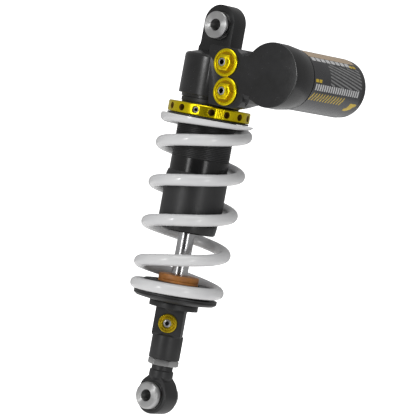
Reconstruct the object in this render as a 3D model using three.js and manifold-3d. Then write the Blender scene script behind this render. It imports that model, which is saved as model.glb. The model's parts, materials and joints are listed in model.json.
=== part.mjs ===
// Rear shock absorber of a motorcycle: a damper inside a coil spring, with a side reservoir.
//
// Millimetres, +Z up along the damper. The origin is the centre of the upper eye. The bolts of
// both eyes, the two compression valves and the reservoir all run along Y, and their fronts
// face -Y. The damper is drawn fully extended.

import * as THREE from 'three';
import { mergeVertices } from 'three/addons/utils/BufferGeometryUtils.js';
import Module from 'manifold-3d';

const wasm = await Module();
wasm.setup();

// ---------------------------------------------------------------- driving dimensions

const GAP = 0.3; // clearance between neighbouring pieces
const LARGE = 40; // facets round the large pieces
const MEDIUM = 24;
const SMALL = 16;
const CUT = 1; // how far a cutting solid runs past the face it cuts

const LOWER_EYE_Z = -317.5; // centre of the lower eye, below the upper one
const BOLT_R = 5.1; // hole for an M10 bolt

// Head: one machined block with the upper lug, the valve bank and the reservoir cup.
const LUG = { halfWidth: 15.5, halfThick: 8.5, archZ: 2.2, footZ: -17.8 };
const PLINTH = { halfWidth: 16.9, topZ: -19.9, bottomZ: -28 };
const CAP = { r: 28.5, crownZ: -21.8, rimZ: -27.6, bottomZ: -60.6, neckZ: -63.2 };
const FACE_Y = -26.2; // flat front of the valve bank and the reservoir cup
const BANK = { topZ: -17, bottomZ: -66.6, halfWidth: 17.8, backY: 14 };
const HIGH_VALVE = { x: 27.5, z: -30 };
const LOW_VALVE = { x: 32.2, z: -53.7 };
const VALVE = { discR: 11.85, shaftR: 9, screwR: 3.4, discFrontY: -28, hubFrontY: -33.3, backY: -14 };

// Reservoir beside the head.
const RES = { x: 73.4, z: -33.7, tubeR: 24.7, boreR: 22.9, endY: 81.5 };
const FLOATING_PISTON = {
  r: 22.6, frontY: 8, backY: 22, grooveR: 21.4, grooveFromY: 13, grooveToY: 18,
};
const CUP = { r: 27.3, floorY: -20, backY: 1 };
const WRAP = { fromY: 3, toY: 75, fromDegrees: -112.5, toDegrees: 97.5 };
const END_CAP = { r: 22.6, frontY: 69.9, rimY: 78.5 };
const CLIP = { innerR: 20.4, fromY: 78.8, toY: 80 };
const GAS_VALVE = { r: 3, fromY: 71.9, toY: 78.4 };
const GAS_CAP = { r: 4.6, fromY: 78.7, toY: 81.3 };

// Damper body.
const TUBE = { r: 24.6, boreR: 23, topZ: -46.3, bottomZ: -168.1 };
const STOP_RING = { r: 25.1, topZ: -63.5, bottomZ: -66.9 }; // step that ends the thread
const SLEEVE = { r: 26.4, topZ: -125.7, bottomZ: -166.6 };
const SEAL = { topZ: -152, bottomZ: -176.4, boreR: 7.3 };

// Spring and its two seats.
const SPRING = { meanR: 35, wireR: 5, turns: 5.75, startAngle: 36, topZ: -77.3 };
const PITCH = { top: 10.2, open: 34.05, bottom: 5.5 }; // drop per turn
const OPEN = { from: 0.87, to: 4.85, ramp: 0.2 }; // turns over which the coils stand apart
const SPRING_TOP_Z = -79.5; // ground flat upper end
const SPRING_BOTTOM_Z = -229.9; // ground flat lower end
const COLLAR = { r: 35, topZ: -68.3, bottomZ: -77.7, holes: 16, holeR: 2.9, holeDepth: 8.5 };
const GRUB = { r: 1.8, socket: 2, length: 5.3 };
const SEAT_RING = { topZ: -78, bottomZ: -79.2 };
const PERCH = { r: 35.7, seatZ: -230.2, bottomZ: -237, bossR: 29.3, bossZ: -219.8 };

// Rod and what it carries.
const ROD = { r: 7, studR: 6, studZ: -148, topZ: -121, bottomZ: -245.5 };
const PISTON = { r: 22.6, topZ: -131, bottomZ: -143 };
const BUMP = { topZ: -213.5, bottomZ: -228.4, topR: 17.2, bottomR: 18.2 };
const HOUSING = { flangeR: 20.9, topZ: -237.3, flangeZ: -241.8, wideZ: -265.5, bottomZ: -285.4 };
const HOUSING_R = { plug: 9.7, fillet: 13.4, waist: 11.9, socket: 13.2 };
const HOUSING_TURN = 26; // degrees from -Y to the rebound adjuster
const REBOUND_Z = -254.5;
const LOCKNUT = { acrossFlats: 23, topZ: -285.7, bottomZ: -291, turn: 28.3 };
const ROD_END = { eyeR: 15.5, halfThick: 8.9, shankR: 6, topZ: -268.5 };

// Spherical bearing, the same in both eyes.
const BEARING = { raceR: 11.9, raceHalf: 5.6, ballR: 9.7, ballHalf: 6.8, ballBoreR: 6.6 };
const SPACER = { stubR: 6.3, rimR: 11.5, shoulderY: 7.2 };
const EYE_BORE_R = BEARING.raceR + GAP;

// ---------------------------------------------------------------- solids

/** Merges shared vertices and drops the flat triangles that meet the axis of a turned solid. */
function welded(geometry) {
  const bare = geometry.clone();
  bare.deleteAttribute('normal');
  bare.deleteAttribute('uv');
  const merged = mergeVertices(bare, 1e-4);
  const corners = merged.index.array;
  const kept = [];
  for (let i = 0; i < corners.length; i += 3) {
    const [a, b, c] = [corners[i], corners[i + 1], corners[i + 2]];
    if (a !== b && b !== c && c !== a) kept.push(a, b, c);
  }
  merged.setIndex(kept);
  return merged;
}

function toSolid(geometry) {
  const mesh = welded(geometry);
  return new wasm.Manifold(
    new wasm.Mesh({
      numProp: 3,
      vertProperties: new Float32Array(mesh.attributes.position.array),
      triVerts: new Uint32Array(mesh.index.array),
    }),
  );
}

function toGeometry(solid) {
  const mesh = solid.getMesh();
  const geometry = new THREE.BufferGeometry();
  geometry.setAttribute('position', new THREE.BufferAttribute(mesh.vertProperties, 3));
  geometry.setIndex(new THREE.BufferAttribute(mesh.triVerts, 1));
  return geometry;
}

/** Joins the first geometry with the ones in `added` and takes away the ones in `removed`. */
function combined(first, added = [], removed = []) {
  let solid = toSolid(first);
  for (const geometry of added) solid = solid.add(toSolid(geometry));
  for (const geometry of removed) solid = solid.subtract(toSolid(geometry));
  return toGeometry(solid);
}

/** Turns a closed (radius, height) outline about the Y axis, with its faces pointing out. */
function turnedAboutY(outline, segments) {
  const points = outline.map(([r, h]) => new THREE.Vector2(r, h));
  if (THREE.ShapeUtils.area(points) < 0) points.reverse();
  const touchesAxis = outline.some(([r]) => r === 0);
  if (touchesAxis) {
    while (points[0].x !== 0 || points[points.length - 1].x !== 0) points.push(points.shift());
  } else {
    points.push(points[0].clone());
  }
  return new THREE.LatheGeometry(points, segments);
}

function turnedAboutZ(outline, segments) {
  return turnedAboutY(outline, segments).rotateX(Math.PI / 2);
}

function rodAboutY(radius, fromY, toY, segments, x = 0, z = 0) {
  const outline = [[0, fromY], [radius, fromY], [radius, toY], [0, toY]];
  return turnedAboutY(outline, segments).translate(x, 0, z);
}

function rodAboutZ(radius, fromZ, toZ, segments) {
  return turnedAboutZ([[0, fromZ], [radius, fromZ], [radius, toZ], [0, toZ]], segments);
}

function ringAboutZ(innerR, outerR, fromZ, toZ, segments) {
  const outline = [[innerR, fromZ], [outerR, fromZ], [outerR, toZ], [innerR, toZ]];
  return turnedAboutZ(outline, segments);
}

function ringAboutY(innerR, outerR, fromY, toY, segments) {
  const outline = [[innerR, fromY], [outerR, fromY], [outerR, toY], [innerR, toY]];
  return turnedAboutY(outline, segments);
}

function shapeOf(points) {
  return new THREE.Shape(points.map(([a, b]) => new THREE.Vector2(a, b)));
}

/** A plate whose (x, z) outline runs from one Y to another. */
function plateAlongY(points, fromY, toY) {
  const plate = new THREE.ExtrudeGeometry(shapeOf(points), {
    depth: toY - fromY,
    bevelEnabled: false,
  });
  return plate.rotateX(Math.PI / 2).translate(0, toY, 0);
}

/** A bar whose (y, z) outline runs from one X to another. */
function barAlongX(points, fromX, toX) {
  const bar = new THREE.ExtrudeGeometry(shapeOf(points), {
    depth: toX - fromX,
    bevelEnabled: false,
  });
  const turn = new THREE.Matrix4().makeBasis(
    new THREE.Vector3(0, 1, 0),
    new THREE.Vector3(0, 0, 1),
    new THREE.Vector3(1, 0, 0),
  );
  return bar.applyMatrix4(turn).translate(fromX, 0, 0);
}

/** Corners of a regular polygon, the first at `startDegrees` from the first axis. */
function polygon(sides, radius, startDegrees = 0) {
  const corners = [];
  for (let i = 0; i < sides; i += 1) {
    const angle = THREE.MathUtils.degToRad(startDegrees) + (2 * Math.PI * i) / sides;
    corners.push([radius * Math.cos(angle), radius * Math.sin(angle)]);
  }
  return corners;
}

function hexRadius(acrossFlats) {
  return acrossFlats / Math.sqrt(3);
}

/** Hexagonal prism along Y. */
function hexAboutY(acrossFlats, fromY, toY) {
  return plateAlongY(polygon(6, hexRadius(acrossFlats)), fromY, toY);
}

/** Hexagonal prism along Z with the middle of one flat `turn` degrees from -Y. */
function hexAboutZ(acrossFlats, fromZ, toZ, turn = 0) {
  const shape = shapeOf(polygon(6, hexRadius(acrossFlats), turn));
  const prism = new THREE.ExtrudeGeometry(shape, { depth: toZ - fromZ, bevelEnabled: false });
  return prism.translate(0, 0, fromZ);
}

// ---------------------------------------------------------------- head

function lugOutline() {
  const outline = [];
  const steps = 16;
  for (let i = 0; i <= steps; i += 1) {
    const angle = (Math.PI * i) / steps;
    outline.push([LUG.halfWidth * Math.cos(angle), LUG.archZ + LUG.halfWidth * Math.sin(angle)]);
  }
  const plinth = [
    [LUG.halfWidth, LUG.footZ], [PLINTH.halfWidth, PLINTH.topZ], [PLINTH.halfWidth, PLINTH.bottomZ],
  ];
  const left = plinth.map(([x, z]) => [-x, z]);
  return [...outline, ...left, ...plinth.reverse()];
}

/** The valve bank leans: its sides follow the line through the two valves. */
function bankOutline() {
  const lean = (LOW_VALVE.x - HIGH_VALVE.x) / (LOW_VALVE.z - HIGH_VALVE.z);
  const sideAt = (z, half) => [HIGH_VALVE.x + lean * (z - HIGH_VALVE.z) + half, z];
  const { topZ, bottomZ, halfWidth } = BANK;
  const chamfer = 2.5;
  return [
    sideAt(topZ, chamfer - halfWidth), sideAt(topZ - chamfer, -halfWidth),
    sideAt(bottomZ + chamfer, -halfWidth), sideAt(bottomZ, chamfer - halfWidth),
    [42, bottomZ], [46.5, -64.3], [49.6, -61.5], sideAt(-57, halfWidth),
    sideAt(topZ - chamfer, halfWidth), sideAt(topZ, halfWidth - chamfer),
  ];
}

/** The underside of the bank rises towards the back. */
function bankGeometry() {
  const { topZ, bottomZ, backY } = BANK;
  const section = [
    [FACE_Y, bottomZ], [-16, bottomZ], [-11, -64], [-2, -58], [12, -38], [backY, -36],
    [backY, topZ], [FACE_Y, topZ],
  ];
  const plate = toSolid(plateAlongY(bankOutline(), FACE_Y, backY));
  return toGeometry(plate.intersect(toSolid(barAlongX(section, 0, 60))));
}

/** The web joins the bank to the cup. It rounds off in front and rises towards the back. */
function webGeometry() {
  const bottomZ = -65.2;
  const outline = [
    [36, BANK.topZ], [58, BANK.topZ], [60, -30], [56, -57], [53.5, -60],
    [50.5, -62.3], [46.5, -64.3], [40, bottomZ], [36, bottomZ],
  ];
  const section = [
    [FACE_Y, -54.5], [FACE_Y, -22.5], [-25, -19.5], [-21.5, BANK.topZ], [8, BANK.topZ],
    [12, -21], [12, -38], [-2, -58], [-12, bottomZ], [-15, bottomZ], [-20.5, -63.2],
    [-24.6, -59],
  ];
  const plate = toSolid(plateAlongY(outline, FACE_Y - CUT, BANK.backY));
  const bar = toSolid(barAlongX(section, 30, 70));
  return toGeometry(plate.intersect(bar));
}

function headBlock() {
  const neckR = STOP_RING.r + 2 * GAP;
  const oilRoomR = 18;
  const oilRoomTopZ = -38;
  const cap = turnedAboutZ(
    [
      [0, CAP.crownZ], [17, CAP.crownZ - 0.5], [27.3, -26.2], [CAP.r, CAP.rimZ],
      [CAP.r, CAP.bottomZ], [neckR, CAP.bottomZ], [neckR, CAP.neckZ], [0, CAP.neckZ],
    ],
    LARGE,
  );
  const lug = plateAlongY(lugOutline(), -LUG.halfThick, LUG.halfThick);
  const cup = turnedAboutY(
    [
      [0, FACE_Y], [CUP.r - 1, FACE_Y], [CUP.r, FACE_Y + 1], [CUP.r, -12],
      [CUP.r - 1.3, CUP.backY], [0, CUP.backY],
    ],
    LARGE,
  ).translate(RES.x, 0, RES.z);
  const ringRoom = rodAboutZ(STOP_RING.r + GAP, BANK.bottomZ - CUT, CAP.neckZ, LARGE);
  const spigotBore = rodAboutZ(TUBE.r, CAP.neckZ - CUT, TUBE.topZ + GAP, LARGE);
  const oilRoom = rodAboutZ(oilRoomR, TUBE.topZ, oilRoomTopZ, SMALL);
  const reservoirBore = rodAboutY(
    RES.tubeR + GAP, CUP.floorY, RES.endY, LARGE, RES.x, RES.z,
  );
  const eyeBore = rodAboutY(EYE_BORE_R, -LUG.halfThick - CUT, LUG.halfThick + CUT, MEDIUM);
  const valveBores = [HIGH_VALVE, LOW_VALVE].map(({ x, z }) =>
    rodAboutY(VALVE.shaftR + GAP, FACE_Y - CUT, VALVE.backY + GAP, SMALL, x, z));
  return combined(
    cap,
    [lug, bankGeometry(), webGeometry(), cup],
    [ringRoom, spigotBore, oilRoom, reservoirBore, eyeBore, ...valveBores],
  );
}

/** Gold cartridge: a disc on the face, a hexagon and a round hub on it, and a shaft inside. */
function valveCartridge({ x, z }) {
  const body = turnedAboutY(
    [
      [0, VALVE.hubFrontY], [4.6, VALVE.hubFrontY], [5.6, -31.2], [5.6, VALVE.discFrontY],
      [VALVE.discR - 0.6, VALVE.discFrontY], [VALVE.discR, VALVE.discFrontY + 0.6],
      [VALVE.discR, FACE_Y - GAP], [VALVE.shaftR, FACE_Y - GAP],
      [VALVE.shaftR, VALVE.backY], [0, VALVE.backY],
    ],
    MEDIUM,
  );
  const hexagon = hexAboutY(14, -31, VALVE.discFrontY + 0.5);
  const bore = rodAboutY(VALVE.screwR + GAP, VALVE.hubFrontY - CUT, VALVE.backY - 2, SMALL);
  return combined(body, [hexagon], [bore]).translate(x, 0, z);
}

/** Socket screw along Y with its head at `frontY`. */
function socketScrew(radius, socket, frontY, backY) {
  const shank = rodAboutY(radius, frontY, backY, SMALL);
  return combined(shank, [], [hexAboutY(socket, frontY - CUT, frontY + 3)]);
}

function valveScrew({ x, z }) {
  const frontY = VALVE.hubFrontY + 0.6;
  const backY = VALVE.backY - 2 - GAP;
  return socketScrew(VALVE.screwR, 4.4, frontY, backY).translate(x, 0, z);
}

// ---------------------------------------------------------------- reservoir

function aboutReservoir(geometry) {
  return geometry.translate(RES.x, 0, RES.z);
}

function reservoirTube() {
  return aboutReservoir(ringAboutY(RES.boreR, RES.tubeR, CUP.floorY + GAP, RES.endY, LARGE));
}

/** Thin printed film wrapped round the side and front of the tube, open along the inside. */
function reservoirWrap() {
  const innerR = RES.tubeR + GAP;
  const outerR = innerR + GAP;
  const steps = 28;
  const spread = WRAP.toDegrees - WRAP.fromDegrees;
  const angleAt = (i) => THREE.MathUtils.degToRad(WRAP.fromDegrees + (spread * i) / steps);
  const outer = [];
  const inner = [];
  for (let i = 0; i <= steps; i += 1) {
    const [c, s] = [Math.cos(angleAt(i)), Math.sin(angleAt(i))];
    outer.push([outerR * c, outerR * s]);
    inner.push([innerR * c, innerR * s]);
  }
  return aboutReservoir(plateAlongY([...outer, ...inner.reverse()], WRAP.fromY, WRAP.toY));
}

/** Dished plug with a raised boss round the gas valve. */
function reservoirEndCap() {
  const { r, frontY, rimY } = END_CAP;
  const dishY = rimY - 3;
  const bossY = rimY - 1.8;
  const plug = turnedAboutY(
    [
      [0, frontY], [r, frontY], [r, rimY], [20, rimY], [18.6, dishY], [7, dishY],
      [6.4, bossY], [0, bossY],
    ],
    MEDIUM,
  );
  const bore = rodAboutY(GAS_VALVE.r + GAP, frontY - CUT, rimY, SMALL);
  return aboutReservoir(combined(plug, [], [bore]));
}

/** Piston between the oil and the gas, with a groove for its band. */
function floatingPiston() {
  const { r, frontY, backY, grooveR, grooveFromY, grooveToY } = FLOATING_PISTON;
  const hollowR = 18;
  const hollowY = frontY + 6;
  return aboutReservoir(turnedAboutY(
    [
      [0, hollowY], [hollowR, hollowY], [hollowR, frontY], [r, frontY], [r, grooveFromY],
      [grooveR, grooveFromY], [grooveR, grooveToY], [r, grooveToY], [r, backY], [0, backY],
    ],
    MEDIUM,
  ));
}

// ---------------------------------------------------------------- spring

/** Zero below 0, then curving over `OPEN.ramp` turns into a slope of one. */
function ramped(turns) {
  if (turns < 0) return 0;
  if (turns < OPEN.ramp) return (turns * turns) / (2 * OPEN.ramp);
  return turns - OPEN.ramp / 2;
}

/** Height of the wire's centre after so many turns from the upper tip, with closed ends. */
function springHeight(turn) {
  return SPRING.topZ - PITCH.top * turn
    - (PITCH.open - PITCH.top) * ramped(turn - OPEN.from)
    + (PITCH.open - PITCH.bottom) * ramped(turn - OPEN.to);
}

class SpringLine extends THREE.Curve {
  constructor() {
    super();
    this.arcLengthDivisions = 1200;
  }

  getPoint(t, target = new THREE.Vector3()) {
    const turn = t * SPRING.turns;
    const angle = THREE.MathUtils.degToRad(SPRING.startAngle - 360 * turn);
    return target.set(
      SPRING.meanR * Math.cos(angle),
      SPRING.meanR * Math.sin(angle),
      springHeight(turn),
    );
  }
}

function coilSpring() {
  const stepsPerTurn = 20;
  const wire = new THREE.ExtrudeGeometry(shapeOf(polygon(8, SPRING.wireR)), {
    steps: SPRING.turns * stepsPerTurn,
    extrudePath: new SpringLine(),
    bevelEnabled: false,
  });
  const reach = 2 * (SPRING.meanR + SPRING.wireR);
  const groundOff = [
    rodAboutZ(reach, SPRING_TOP_Z, SPRING_TOP_Z + 20, 4),
    rodAboutZ(reach, SPRING_BOTTOM_Z - 20, SPRING_BOTTOM_Z, 4),
  ];
  return combined(wire, [], groundOff);
}

/** Angle of one spanner hole of the collar, in degrees from +X. */
function collarHoleAngle(index) {
  return -73 + (360 / COLLAR.holes) * index;
}

function preloadCollar() {
  const ring = turnedAboutZ(
    [
      [TUBE.r + GAP, COLLAR.topZ], [COLLAR.r - 0.8, COLLAR.topZ], [COLLAR.r, COLLAR.topZ - 0.8],
      [COLLAR.r, COLLAR.bottomZ + 0.8], [COLLAR.r - 0.8, COLLAR.bottomZ],
      [TUBE.r + GAP, COLLAR.bottomZ],
    ],
    LARGE,
  );
  const middleZ = (COLLAR.topZ + COLLAR.bottomZ) / 2;
  const holes = [];
  for (let i = 0; i < COLLAR.holes; i += 1) {
    const hole = rodAboutY(COLLAR.holeR, -COLLAR.r - CUT, COLLAR.holeDepth - COLLAR.r, 6);
    const turn = THREE.MathUtils.degToRad(collarHoleAngle(i) + 90);
    holes.push(hole.rotateZ(turn).translate(0, 0, middleZ));
  }
  return combined(ring, [], holes);
}

function grubScrew() {
  const middleZ = (COLLAR.topZ + COLLAR.bottomZ) / 2;
  const frontY = 0.4 - COLLAR.r;
  const screw = socketScrew(GRUB.r, GRUB.socket, frontY, frontY + GRUB.length);
  const turn = THREE.MathUtils.degToRad(collarHoleAngle(0) + 90);
  return screw.rotateZ(turn).translate(0, 0, middleZ);
}

// ---------------------------------------------------------------- rod side

function pistonRod() {
  return turnedAboutZ(
    [
      [0, ROD.topZ], [ROD.studR - 0.7, ROD.topZ], [ROD.studR, ROD.topZ - 0.7],
      [ROD.studR, ROD.studZ], [ROD.r, ROD.studZ], [ROD.r, ROD.bottomZ], [0, ROD.bottomZ],
    ],
    MEDIUM,
  );
}

function mainPiston() {
  const bore = ROD.studR + GAP;
  const grooveR = 21.4;
  return turnedAboutZ(
    [
      [bore, PISTON.bottomZ], [17, PISTON.bottomZ], [18.5, PISTON.bottomZ + 2],
      [PISTON.r, PISTON.bottomZ + 2], [PISTON.r, PISTON.bottomZ + 3.2],
      [grooveR, PISTON.bottomZ + 3.2], [grooveR, PISTON.topZ - 3.2],
      [PISTON.r, PISTON.topZ - 3.2], [PISTON.r, PISTON.topZ - 2], [18.5, PISTON.topZ - 2],
      [17, PISTON.topZ], [bore, PISTON.topZ],
    ],
    MEDIUM,
  );
}

function springPerch() {
  return turnedAboutZ(
    [
      [10, PERCH.bottomZ], [21, PERCH.bottomZ], [33.2, -235], [PERCH.r, -232.8],
      [PERCH.r, PERCH.seatZ], [PERCH.bossR, PERCH.seatZ], [PERCH.bossR, PERCH.bossZ - 1],
      [PERCH.bossR - 1, PERCH.bossZ], [BUMP.bottomR + 0.5, PERCH.bossZ],
      [BUMP.bottomR + 0.5, BUMP.bottomZ - GAP], [10, BUMP.bottomZ - GAP],
    ],
    LARGE,
  );
}

function turnedWithHousing(geometry) {
  return geometry.rotateZ(THREE.MathUtils.degToRad(HOUSING_TURN));
}

/** Threaded socket of the rod: flange, square front for the rebound valve, round lower end. */
function reboundHousing() {
  const { flangeR, topZ, flangeZ, wideZ, bottomZ } = HOUSING;
  const { plug, fillet, waist, socket } = HOUSING_R;
  const plugTopZ = -229.2;
  const blockHalfWidth = 12.4;
  const blockFrontY = -12;
  const body = turnedAboutZ(
    [
      [0, plugTopZ], [plug, plugTopZ], [plug, topZ], [flangeR, topZ], [flangeR, flangeZ],
      [fillet, flangeZ], [waist, flangeZ - 1.5], [waist, wideZ + 1.4], [socket, wideZ],
      [socket, bottomZ], [0, bottomZ],
    ],
    MEDIUM,
  );
  const front = [
    [0, flangeZ + 1], [blockFrontY, flangeZ + 1], [blockFrontY, wideZ + 1.6],
    [blockFrontY + 1.6, wideZ - 0.4], [0, wideZ - 0.4],
  ];
  const valveBlock = barAlongX(front, -blockHalfWidth, blockHalfWidth);
  const rodBore = rodAboutZ(ROD.r + GAP, ROD.bottomZ - 0.5, plugTopZ + CUT, SMALL);
  const threadBore = rodAboutZ(
    ROD_END.shankR + GAP, bottomZ - CUT, ROD_END.topZ + 0.5, SMALL,
  );
  const valveBore = rodAboutY(6.3, blockFrontY - CUT, -0.5, SMALL, 0, REBOUND_Z);
  return turnedWithHousing(combined(body, [valveBlock], [rodBore, threadBore, valveBore]));
}

function reboundCartridge() {
  const body = turnedAboutY(
    [
      [0, -14.8], [5.4, -14.8], [6, -13.9], [7.4, -13.9], [8.05, -13.2], [8.05, -12.3],
      [6, -12.3], [6, -1], [0, -1],
    ],
    MEDIUM,
  );
  const bore = rodAboutY(3.7, -16, -5, SMALL);
  return turnedWithHousing(combined(body, [], [bore]).translate(0, 0, REBOUND_Z));
}

function reboundScrew() {
  return turnedWithHousing(socketScrew(3.4, 3.6, -14.4, -5.5).translate(0, 0, REBOUND_Z));
}

function locknut() {
  const hexagon = hexAboutZ(LOCKNUT.acrossFlats, LOCKNUT.bottomZ, LOCKNUT.topZ, LOCKNUT.turn);
  const bore = rodAboutZ(
    ROD_END.shankR + GAP, LOCKNUT.bottomZ - CUT, LOCKNUT.topZ + CUT, SMALL,
  );
  return combined(hexagon, [], [bore]);
}

function rodEnd() {
  const neck = turnedAboutZ(
    [
      [0, ROD_END.topZ], [ROD_END.shankR, ROD_END.topZ], [ROD_END.shankR, -291.3],
      [9.1, -291.3], [9.1, -295], [10.3, -295.8], [10.3, -301.5], [8.7, -304.5], [0, -306],
    ],
    MEDIUM,
  );
  const flare = [
    [6.3, -300.8], [8.2, -302.5], [9.6, -303.8], [11, -305.2], [12.2, -306.9], [13.3, -309.5],
  ];
  const mirrored = flare.map(([x, z]) => [-x, z]).reverse();
  const shoulderHalf = ROD_END.halfThick - 0.5;
  const shoulders = plateAlongY([...flare, ...mirrored], -shoulderHalf, shoulderHalf);
  const eye = turnedAboutY(
    [
      [0, -ROD_END.halfThick], [ROD_END.eyeR - 1.2, -ROD_END.halfThick],
      [ROD_END.eyeR, 1.2 - ROD_END.halfThick], [ROD_END.eyeR, ROD_END.halfThick - 1.2],
      [ROD_END.eyeR - 1.2, ROD_END.halfThick], [0, ROD_END.halfThick],
    ],
    MEDIUM,
  ).translate(0, 0, LOWER_EYE_Z);
  const bore = rodAboutY(EYE_BORE_R, -10, 10, MEDIUM, 0, LOWER_EYE_Z);
  return combined(neck, [shoulders, eye], [bore]);
}

// ---------------------------------------------------------------- spherical bearings

/** Points on a circle of `radius` from -halfWidth to +halfWidth along the axis. */
function sphereArc(radius, halfWidth, steps) {
  const points = [];
  for (let i = 0; i <= steps; i += 1) {
    const along = -halfWidth + (2 * halfWidth * i) / steps;
    points.push([Math.sqrt(radius * radius - along * along), along]);
  }
  return points;
}

function bearingRace() {
  const { raceR, raceHalf, ballR } = BEARING;
  const seat = sphereArc(ballR + GAP + 0.1, raceHalf, 5);
  const outside = [[raceR, raceHalf], [raceR, -raceHalf]];
  return turnedAboutY([...seat, ...outside], MEDIUM);
}

function bearingBall() {
  const { ballR, ballHalf, ballBoreR } = BEARING;
  const bore = [[ballBoreR, ballHalf], [ballBoreR, -ballHalf]];
  return turnedAboutY([...sphereArc(ballR, ballHalf, 6), ...bore], MEDIUM);
}

/** Stepped spacer on the front side. Its stub goes into the ball up to the middle. */
function eyeSpacer(endY, rimStartY, chamfer) {
  return turnedAboutY(
    [
      [BOLT_R, -endY], [SPACER.rimR - chamfer, -endY], [SPACER.rimR, chamfer - endY],
      [SPACER.rimR, -rimStartY], [8.6, -SPACER.shoulderY], [SPACER.stubR, -SPACER.shoulderY],
      [SPACER.stubR, -GAP / 2], [BOLT_R, -GAP / 2],
    ],
    MEDIUM,
  );
}

function bearingClip() {
  return ringAboutY(10.7, 12, -7.3, -6.1, MEDIUM);
}

function backSide(geometry) {
  return geometry.rotateZ(Math.PI);
}

// ---------------------------------------------------------------- the assembly

const FINISH = {
  blackAnodised: { color: 0x2b2b2c, roughness: 0.42, metalness: 0.7 },
  gold: { color: 0xd8b81c, roughness: 0.3, metalness: 0.85 },
  steel: { color: 0xa9a9a7, roughness: 0.38, metalness: 0.95 },
  chrome: { color: 0xd5d5d6, roughness: 0.1, metalness: 1 },
  whitePaint: { color: 0xe6e6e6, roughness: 0.28, metalness: 0 },
  blackPlastic: { color: 0x3a3a3b, roughness: 0.6, metalness: 0 },
  rubber: { color: 0x202020, roughness: 0.85, metalness: 0 },
  foam: { color: 0x9a5f28, roughness: 0.75, metalness: 0 },
  bronze: { color: 0x8c6b3f, roughness: 0.5, metalness: 0.6 },
  film: { color: 0x4a4a4c, roughness: 0.35, metalness: 0 },
};

const shock = new THREE.Group();
shock.name = 'rear_shock';

function place(name, finish, geometry, z = 0) {
  const mesh = new THREE.Mesh(geometry, new THREE.MeshStandardMaterial(FINISH[finish]));
  mesh.name = name;
  mesh.position.z = z;
  shock.add(mesh);
}

// Head and damper body.
place('head_block', 'blackAnodised', headBlock());
place('body_tube', 'blackAnodised', turnedAboutZ(
  [
    [TUBE.boreR, TUBE.topZ], [TUBE.r - GAP, TUBE.topZ], [TUBE.r - GAP, STOP_RING.topZ],
    [STOP_RING.r, STOP_RING.topZ], [STOP_RING.r, STOP_RING.bottomZ],
    [TUBE.r, STOP_RING.bottomZ - GAP], [TUBE.r, TUBE.bottomZ],
    [TUBE.boreR, TUBE.bottomZ],
  ],
  LARGE,
));
place('guide_sleeve', 'blackPlastic', turnedAboutZ(
  [
    [TUBE.r + GAP, SLEEVE.topZ], [25.4, SLEEVE.topZ], [SLEEVE.r, SLEEVE.topZ - 3.8],
    [SLEEVE.r, SLEEVE.bottomZ + 1], [25.4, SLEEVE.bottomZ], [TUBE.r + GAP, SLEEVE.bottomZ],
  ],
  LARGE,
));
place('seal_head', 'blackAnodised', turnedAboutZ(
  [
    [SEAL.boreR, SEAL.topZ], [22.7, SEAL.topZ], [22.7, TUBE.bottomZ - GAP],
    [TUBE.r, TUBE.bottomZ - GAP], [24.3, -170.5], [23.7, -175.2], [22.6, SEAL.bottomZ],
    [10.4, SEAL.bottomZ], [10.4, -172], [SEAL.boreR, -172],
  ],
  MEDIUM,
));
place('rod_wiper', 'rubber', ringAboutZ(SEAL.boreR, 10.1, -176.1, -172.3, MEDIUM));
place('valve_high_cartridge', 'gold', valveCartridge(HIGH_VALVE));
place('valve_low_cartridge', 'gold', valveCartridge(LOW_VALVE));
place('valve_high_screw', 'steel', valveScrew(HIGH_VALVE));
place('valve_low_screw', 'steel', valveScrew(LOW_VALVE));

// Reservoir.
place('reservoir_tube', 'blackAnodised', reservoirTube());
place('reservoir_wrap', 'film', reservoirWrap());
place('reservoir_end_cap', 'blackAnodised', reservoirEndCap());
place('reservoir_clip', 'steel',
  aboutReservoir(ringAboutY(CLIP.innerR, END_CAP.r, CLIP.fromY, CLIP.toY, MEDIUM)));
place('gas_valve_stem', 'steel',
  aboutReservoir(rodAboutY(GAS_VALVE.r, GAS_VALVE.fromY, GAS_VALVE.toY, SMALL)));
place('gas_valve_cap', 'rubber',
  aboutReservoir(rodAboutY(GAS_CAP.r, GAS_CAP.fromY, GAS_CAP.toY, SMALL)));
place('floating_piston', 'gold', floatingPiston());
place('floating_piston_band', 'rubber', aboutReservoir(ringAboutY(
  FLOATING_PISTON.grooveR + GAP, FLOATING_PISTON.r,
  FLOATING_PISTON.grooveFromY + GAP, FLOATING_PISTON.grooveToY - GAP, MEDIUM,
)));

// Preload adjuster and spring.
place('preload_collar', 'gold', preloadCollar());
place('collar_grub_screw', 'steel', grubScrew());
place('spring_seat_ring', 'blackPlastic',
  ringAboutZ(TUBE.r + GAP, COLLAR.r, SEAT_RING.bottomZ, SEAT_RING.topZ, LARGE));
place('coil_spring', 'whitePaint', coilSpring());

// Rod and piston.
place('piston_rod', 'chrome', pistonRod());
place('rebound_shims', 'steel', turnedAboutZ(
  [
    [ROD.studR + GAP, -130.7], [17, -130.7], [17, -129.9], [12, -129.9], [12, -128.7],
    [ROD.studR + GAP, -128.7],
  ],
  SMALL,
));
place('compression_shims', 'steel', turnedAboutZ(
  [
    [ROD.studR + GAP, -143.3], [16.5, -143.3], [16.5, -144.3], [12, -144.3], [12, -147.6],
    [ROD.studR + GAP, -147.6],
  ],
  SMALL,
));
place('main_piston', 'bronze', mainPiston());
place('piston_band', 'rubber',
  ringAboutZ(21.7, PISTON.r, PISTON.bottomZ + 3.5, PISTON.topZ - 3.5, MEDIUM));
place('piston_nut', 'steel', combined(
  hexAboutZ(19, -128.4, -122),
  [],
  [rodAboutZ(ROD.studR + GAP, -129.4, -121, SMALL)],
));
place('top_out_ring', 'rubber', ringAboutZ(ROD.r + GAP, 12, -151.7, -148.3, SMALL));
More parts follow.
